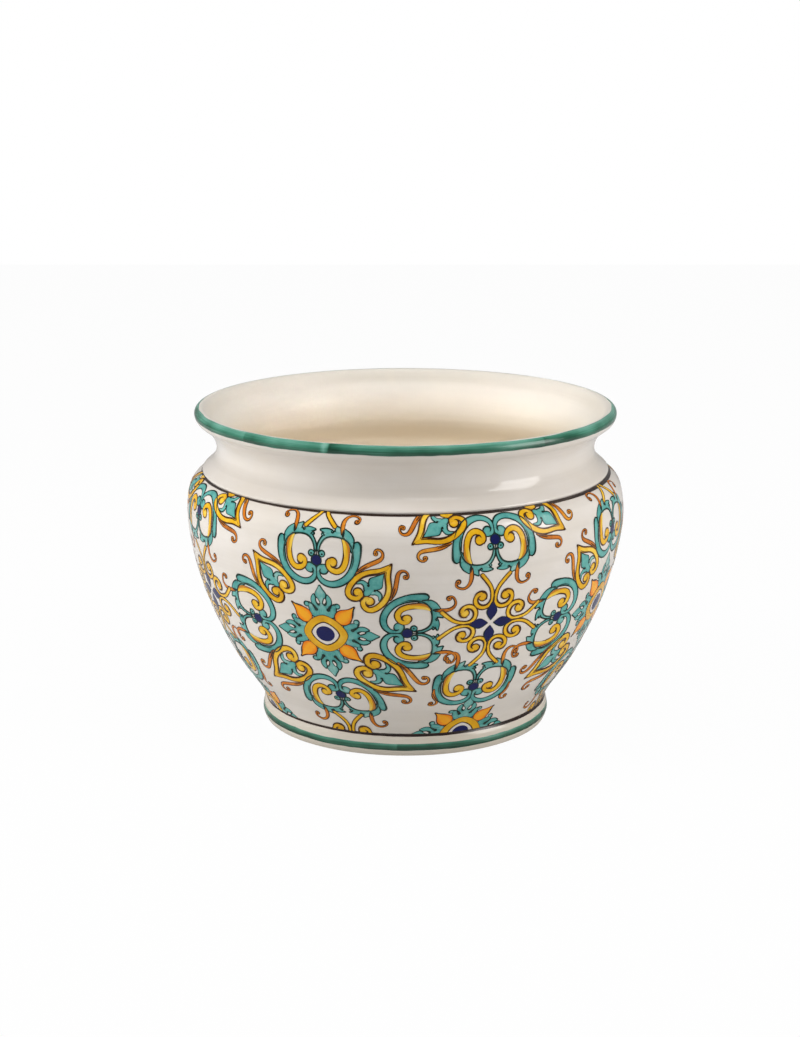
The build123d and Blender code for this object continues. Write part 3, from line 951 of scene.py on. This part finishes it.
def dab(x, y, wide, high, power=2.0):
    """Grid of a round dab: a square grid carried onto the disc by u sqrt(1 - v^2 / 2), then
    stretched to the rounded diamond (x / wide)^power + (y / high)^power = 1."""
    n = max(6, int(2 * wide / STROKE_STEP) + 1)
    u, v = np.meshgrid(np.linspace(-1, 1, n), np.linspace(-1, 1, n))
    p, q = u * np.sqrt(1 - v * v / 2), v * np.sqrt(1 - u * u / 2)
    angle = np.arctan2(q, p)
    reach = np.abs(np.cos(angle) / wide) ** power + np.abs(np.sin(angle) / high) ** power
    reach = reach ** (-1 / power)
    return np.stack([x + p * reach, y + q * reach], -1), np.hypot(p, q)


def mirrored(side, middle=(), turn=0.0):
    """Strokes of a motif from its right half and its middle, turned in its plane."""
    c, s = math.cos(math.radians(turn)), math.sin(math.radians(turn))
    strokes = []
    for sign in (1, -1):
        strokes += [(paint, rim, np.array(p) * (sign, 1, 1)) for paint, rim, *p in side]
    strokes += [(paint, rim, np.array(p, float)) for paint, rim, *p in middle]
    spin = np.array([[c, s, 0], [-s, c, 0], [0, 0, 1]])
    return [(paint, rim, p @ spin) for paint, rim, p in strokes]


def motif(strokes, middle=()):
    """Sheets of paint of a motif, by paint: points (x, y in mm), height over the glaze, edge
    (0 inside a stroke, 1 at its edge), tone of each stroke, and quads."""
    dice = np.random.default_rng(len(strokes))
    sheets = {}

    def lay(paint, layer, made, tone):
        grid, edge = made
        sheet = sheets.setdefault(paint, ([], [], [], [], [], [0]))
        points, lifts, edges, tones, quads, count = sheet
        rows, columns = grid.shape[:2]
        face = grid_faces(rows, columns)
        corner = grid.reshape(-1, 2)
        rising = corner[face[:, 2]] - corner[face[:, 0]]
        falling = corner[face[:, 3]] - corner[face[:, 1]]
        turned = rising[:, 0] * falling[:, 1] - rising[:, 1] * falling[:, 0] < 0
        face[turned] = face[turned][:, ::-1]
        quads.append(face + count[0])
        count[0] += rows * columns
        points.append(corner)
        edges.append(edge.ravel())
        lifts.append(np.full(rows * columns, layer))
        tones.append(np.full(rows * columns, tone))

    for number, (paint, rim, p) in enumerate(strokes):
        layer, border = PAINTS[paint]
        layer, tone = layer + number * STROKE_SHARE, dice.uniform()

        def made(widen):
            if len(p) > 1:
                return brush_stroke(p, widen, OUTLINE_STEP if widen else STROKE_STEP)
            return dab(p[0, 0], p[0, 1], p[0, 2] + widen, p[0, 2] + widen)

        if rim:
            grid, edge = made(rim * OUTLINE_SHARE)
            way = 2 * math.pi * tone
            drift = OUTLINE_DRIFT * np.array([math.cos(way), math.sin(way)])
            lay(border, layer, (grid + drift, edge), tone)
        lay(paint, layer + 1, made(0.0), tone)
    for paint, layer, wide, high, power in middle:
        lay(paint, layer, dab(0.0, 0.0, wide, high, power), 0.5)
    return {paint: [np.concatenate(part) for part in parts[:5]] for paint, parts in sheets.items()}


# paint: its colour where the brush ran dry, where it is full and where it pooled
PAINT_COLOURS = {
    "turquoise": ((0.33, 0.52, 0.475), (0.12, 0.385, 0.35), (0.030, 0.225, 0.215)),
    "yellow": ((0.88, 0.60, 0.08), (0.75, 0.42, 0.012), (0.55, 0.245, 0.005)),
    "orange": ((0.74, 0.34, 0.045), (0.58, 0.17, 0.013), (0.24, 0.055, 0.007)),
    "bud": ((0.88, 0.46, 0.03), (0.86, 0.38, 0.014), (0.83, 0.28, 0.008)),
    "navy": ((0.014, 0.018, 0.12), (0.007, 0.010, 0.080), (0.004, 0.006, 0.045)),
    "white": ((0.70, 0.655, 0.61), (0.68, 0.63, 0.58), (0.64, 0.59, 0.53)),
    "glow": ((0.82, 0.60, 0.16), (0.78, 0.52, 0.07), (0.72, 0.43, 0.03)),
    "shade": ((0.60, 0.27, 0.03), (0.50, 0.19, 0.02), (0.34, 0.11, 0.012)),
    "dark": ((0.035, 0.085, 0.07), (0.009, 0.026, 0.020), (0.004, 0.010, 0.008)),
    "brown": ((0.13, 0.058, 0.016), (0.055, 0.022, 0.007), (0.026, 0.011, 0.005)),
}
# paint: where its other colour at the edges begins, how strong it is there, and that colour
EDGE_COLOURS = {
    "bud": (0.35, 1.0, (0.80, 0.18, 0.006)),
    "turquoise": (0.45, 0.5, (0.030, 0.225, 0.215)),
    "yellow": (0.5, 0.45, (0.55, 0.24, 0.010)),
}


def ornament_material(paint):
    """A paint under the glaze: pale where the brush ran dry, deep where it pooled."""
    pale, full, deep = PAINT_COLOURS[paint]
    finish = Finish("paint_" + paint)
    cloud, streak = finish.noise(110.0, 3.0), finish.noise(520.0, 2.0)
    load = cloud * 0.9 + streak * 0.35 + finish.attribute("tone") * 0.35 - 0.35
    body = finish.mix(load.step(0.05, 0.45), pale, full)
    body = finish.mix(load.step(0.45, 0.95), body, deep)
    if paint in EDGE_COLOURS:
        start, strength, edge = EDGE_COLOURS[paint]
        body = finish.mix(finish.attribute("edge").step(start, 1.0) * strength, body, edge)
    return finish.surface(
        Base_Color=body,
        Roughness=cloud * 0.05 + 0.12,
        Normal=finish.bump(cloud, 0.0003, 0.4),
        IOR=1.5,
        Specular_IOR_Level=0.17,
    )


class OBJECT_OT_pot_ornament(bpy.types.Operator):
    """Paints the scrolls, rosettes and stars round the belly"""

    bl_idname = "object.pot_ornament"
    bl_label = "Painted ornament"

    def execute(self, context):
        belly = outlines()[1]
        clusters, buds, arms = [], [], []
        for turn in (0.0, 90.0, 180.0, 270.0):
            clusters += mirrored(CLUSTER_SIDE, CLUSTER_MIDDLE, turn)
            buds += mirrored((), ROSETTE_BUD, turn + 45.0)
            arms += mirrored(STAR_SIDE, STAR_MIDDLE, turn)
        motifs = {
            "wreath": motif(mirrored(WREATH_SIDE, WREATH_MIDDLE)),
            "spade": motif(mirrored(SPADE_SIDE, SPADE_MIDDLE)),
            "tendrils": motif(mirrored(TENDRIL_SIDE)),
            "rosette": motif(clusters + buds, ROSETTE_MIDDLE),
            "star": motif(arms),
        }
        dice = np.random.default_rng(7)
        low, high = LOW_MARGIN, belly.length[-1] * 1000 - HIGH_MARGIN
        heaps = {}
        placed = [(column, *place) for column in ROSETTE_COLUMNS for place in ROSETTE_PLACES]
        placed += [(column, *place) for column in STAR_COLUMNS for place in STAR_PLACES]
        for column, kind, aside, up, turn, scale in placed:
            swing, grown = dice.uniform(-1.3, 1.3), scale * dice.uniform(0.985, 1.015)
            waves, phases = dice.uniform(0.05, 0.13, 4), dice.uniform(0, 6.3, 4)
            spin = math.radians(turn + swing)
            for paint, (points, lift, edge, tone, quads) in motifs[kind].items():
                x, y = points.T
                sway = 0.3 * (np.sin(y * waves[0] + phases[0]) + np.sin(x * waves[1] + phases[1]))
                lean = 0.3 * (np.sin(x * waves[2] + phases[2]) + np.sin(y * waves[3] + phases[3]))
                x, y = (x + sway) * grown, (y + lean) * grown
                s = up + x * math.sin(spin) + y * math.cos(spin)
                inside = ((s > low) & (s < high))[quads].any(1)
                s = np.clip(s, low, high)
                radius = belly.at(s / 1000)[0] * 1000
                right = x * math.cos(spin) - y * math.sin(spin)
                angle = math.radians(column + aside) + right / radius
                heap = heaps.setdefault(paint, ([], [], [], [], [], [], [0]))
                shown = quads[inside] + heap[6][0]
                for part, values in zip(heap, (s, angle, lift, edge, tone, shown)):
                    part.append(values)
                heap[6][0] += len(s)
        for paint, heap in heaps.items():
            s, angle, lift, edge, tone, quads = (np.concatenate(part) for part in heap[:6])
            used, quads = np.unique(quads, return_inverse=True)
            quads = quads.reshape(-1, 4)
            s, angle, lift, edge, tone = (values[used] for values in (s, angle, lift, edge, tone))
            r, z = belly.at(s / 1000, (PAINT_LIFT + lift * LAYER_LIFT) / 1000)
            points = turned_grid(r, z, angle)
            normals = turned_grid(*belly.facing(s / 1000), angle)
            turns = angle[quads] / (2 * math.pi)
            turns -= np.floor(turns.mean(1, keepdims=True))
            uv = np.stack([turns, s[quads] / 1000 / belly.length[-1]], -1)
            values = {"edge": edge, "tone": tone}
            piece = make_mesh("ornament_" + paint, points, quads, uv, normals, values)
            dress(piece, ornament_material(paint))
        return {"FINISHED"}


class OBJECT_OT_pot_clay(bpy.types.Operator):
    """Gives the bare clay its fired colour and turning marks"""

    bl_idname = "object.pot_clay"
    bl_label = "Bare clay"

    def execute(self, context):
        colour = context.scene.pot_colours
        finish = Finish("bare_clay")
        x, y = finish.axes()[:2]
        radius = (x * x + y * y) ** 0.5
        waves = radius * 2600.0 + finish.noise(30.0) * 4.0
        rings = waves.math("SINE", waves)
        grit = finish.noise(1800.0, 3.0)
        cloud = finish.noise(40.0, 3.0)
        pale = [min(1.0, c * 1.55 + 0.05) for c in colour.clay]
        base = finish.mix(cloud.step(0.3, 0.7), colour.clay, pale)
        base = finish.mix(grit.step(0.6, 0.72) * 0.5, base, [c * 0.45 for c in colour.clay])
        material = finish.surface(
            Base_Color=base,
            Roughness=cloud * 0.12 + 0.78,
            Normal=finish.bump(grit * 0.5 + rings * 0.25 + cloud * 0.25, 0.0005, 0.7),
        )
        for name in ("foot_ring", "bowl", "collar"):
            dress(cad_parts[name], material)
        return {"FINISHED"}


# lamp: its place and its extent in metres, its power in watts and its colour
LAMPS = {
    "window_left": ((-1.5, -0.35, 0.75), (0.9, 1.3), 23.5, (1.0, 0.995, 0.985)),
    "window_right": ((1.45, -0.55, 0.65), (0.8, 1.2), 17.0, (1.0, 0.985, 0.965)),
    "sky_panel": ((-0.1, -0.28, 1.7), (1.2, 0.9), 11.5, (1.0, 1.0, 1.0)),
    "roof_strip": ((0.30, -0.75, 1.55), (0.7, 0.12), 1.2, (1.0, 1.0, 1.0)),
    "inside_light": ((0.0, -0.8, 1.0), (0.22, 0.03), 0.047, (1.0, 0.98, 0.95)),
}
# lamps that are seen in reflections
SEEN_LAMPS = ("window_right", "roof_strip")
# the lamp that is a narrow beam through the mouth: what it is aimed at, and how far it spreads
BEAM, BEAM_TARGET, BEAM_SPREAD = "inside_light", (0, 0.14, 0.122), math.radians(6)
POT_MIDDLE = (0, 0, 0.12)
WHITE = (1.0, 1.0, 1.0)
# light from all sides, and how much of the table the camera sees as pure white
FILL_LIGHT = 0.275
TABLE_GLOW = 0.97
# half the side of the table, and how far it lies under the foot
TABLE_HALF, TABLE_DROP = 2.5, 0.0001
# place of the camera along X, a little to the left of the pot's axis
CAMERA_ASIDE = -0.0037


class OBJECT_OT_pot_stage(bpy.types.Operator):
    """Adds the white table, the studio light and the camera of the photograph"""

    bl_idname = "object.pot_stage"
    bl_label = "Stage and camera"

    def execute(self, context):
        scene, photo = context.scene, context.scene.pot_photo
        span = np.array([-TABLE_HALF, TABLE_HALF])
        x, y = np.meshgrid(span, span)
        points = np.stack([x, y, np.full_like(x, -TABLE_DROP)], -1).reshape(-1, 3)
        floor = make_mesh("table", points, grid_faces(2, 2))
        finish = Finish("white_table")
        finish.surface(Base_Color=(0.66, 0.66, 0.66), Roughness=0.9)
        glow = finish.node("ShaderNodeEmission", {}, WHITE, 1.0)
        seen = finish.node("ShaderNodeLightPath").out("Is Camera Ray") * TABLE_GLOW
        finish.mix_shaders(seen, Node(finish, finish.shader), glow, "Material Output")
        dress(floor, finish.material)

        scene.world = bpy.data.worlds.new("studio")
        sky = Tree(scene.world)
        fill = sky.node("ShaderNodeBackground", {}, WHITE, FILL_LIGHT)
        white = sky.node("ShaderNodeBackground", {}, WHITE, 1.0)
        seen = sky.node("ShaderNodeLightPath").out("Is Camera Ray")
        sky.mix_shaders(seen, fill, white, "World Output")

        for name, (place, extent, power, hue) in LAMPS.items():
            lamp = bpy.data.lights.new(name, "AREA")
            lamp.shape = "RECTANGLE"
            lamp.size, lamp.size_y = extent
            lamp.energy = power
            lamp.color = hue
            target = POT_MIDDLE
            if name == BEAM:
                lamp.spread = BEAM_SPREAD
                target = BEAM_TARGET
            stand = bpy.data.objects.new(name, lamp)
            stand.location = place
            way = Vector(target) - Vector(place)
            stand.rotation_euler = way.to_track_quat("-Z", "Y").to_euler()
            stand.visible_glossy = name in SEEN_LAMPS
            scene.collection.objects.link(stand)

        lens = bpy.data.cameras.new("photo_camera")
        lens.lens = photo.lens
        lens.sensor_width = 36.0
        lens.clip_start, lens.clip_end = 0.05, 50.0
        camera = bpy.data.objects.new("photo_camera", lens)
        camera.location = (CAMERA_ASIDE, -photo.distance, photo.height)
        camera.rotation_euler = (math.radians(90) - photo.tilt, 0.0, 0.0)
        scene.collection.objects.link(camera)
        scene.camera = camera
        scene.view_settings.view_transform = "Standard"
        return {"FINISHED"}


class VIEW3D_PT_pot(bpy.types.Panel):
    """Lists the pieces of the pot and their sizes and colours"""

    bl_label = "Painted cachepot"
    bl_space_type = "VIEW_3D"
    bl_region_type = "UI"
    bl_category = "Cachepot"

    def draw(self, context):
        for operator in OPERATORS:
            self.layout.operator(operator.bl_idname)
        for group in (context.scene.pot_sizes, context.scene.pot_colours, context.scene.pot_photo):
            box = self.layout.box()
            for key in group.bl_rna.properties.keys():
                if key not in ("rna_type", "name"):
                    box.prop(group, key)


GROUPS = {"pot_sizes": PotSizes, "pot_colours": PotColours, "pot_photo": Photo}
OPERATORS = (
    OBJECT_OT_pot_stage, OBJECT_OT_pot_clay, OBJECT_OT_pot_body, OBJECT_OT_pot_bands,
    OBJECT_OT_pot_ornament,
)


def register():
    for item in (*GROUPS.values(), *OPERATORS, VIEW3D_PT_pot):
        bpy.utils.register_class(item)
    for key, group in GROUPS.items():
        setattr(bpy.types.Scene, key, PointerProperty(type=group))


def unregister():
    for key in GROUPS:
        delattr(bpy.types.Scene, key)
    for item in reversed((*GROUPS.values(), *OPERATORS, VIEW3D_PT_pot)):
        bpy.utils.unregister_class(item)


def main():
    register()
    bpy.ops.object.pot_stage()
    bpy.ops.object.pot_clay()
    bpy.ops.object.pot_body()
    bpy.ops.object.pot_bands()
    bpy.ops.object.pot_ornament()


if __name__ == "__main__":
    main()
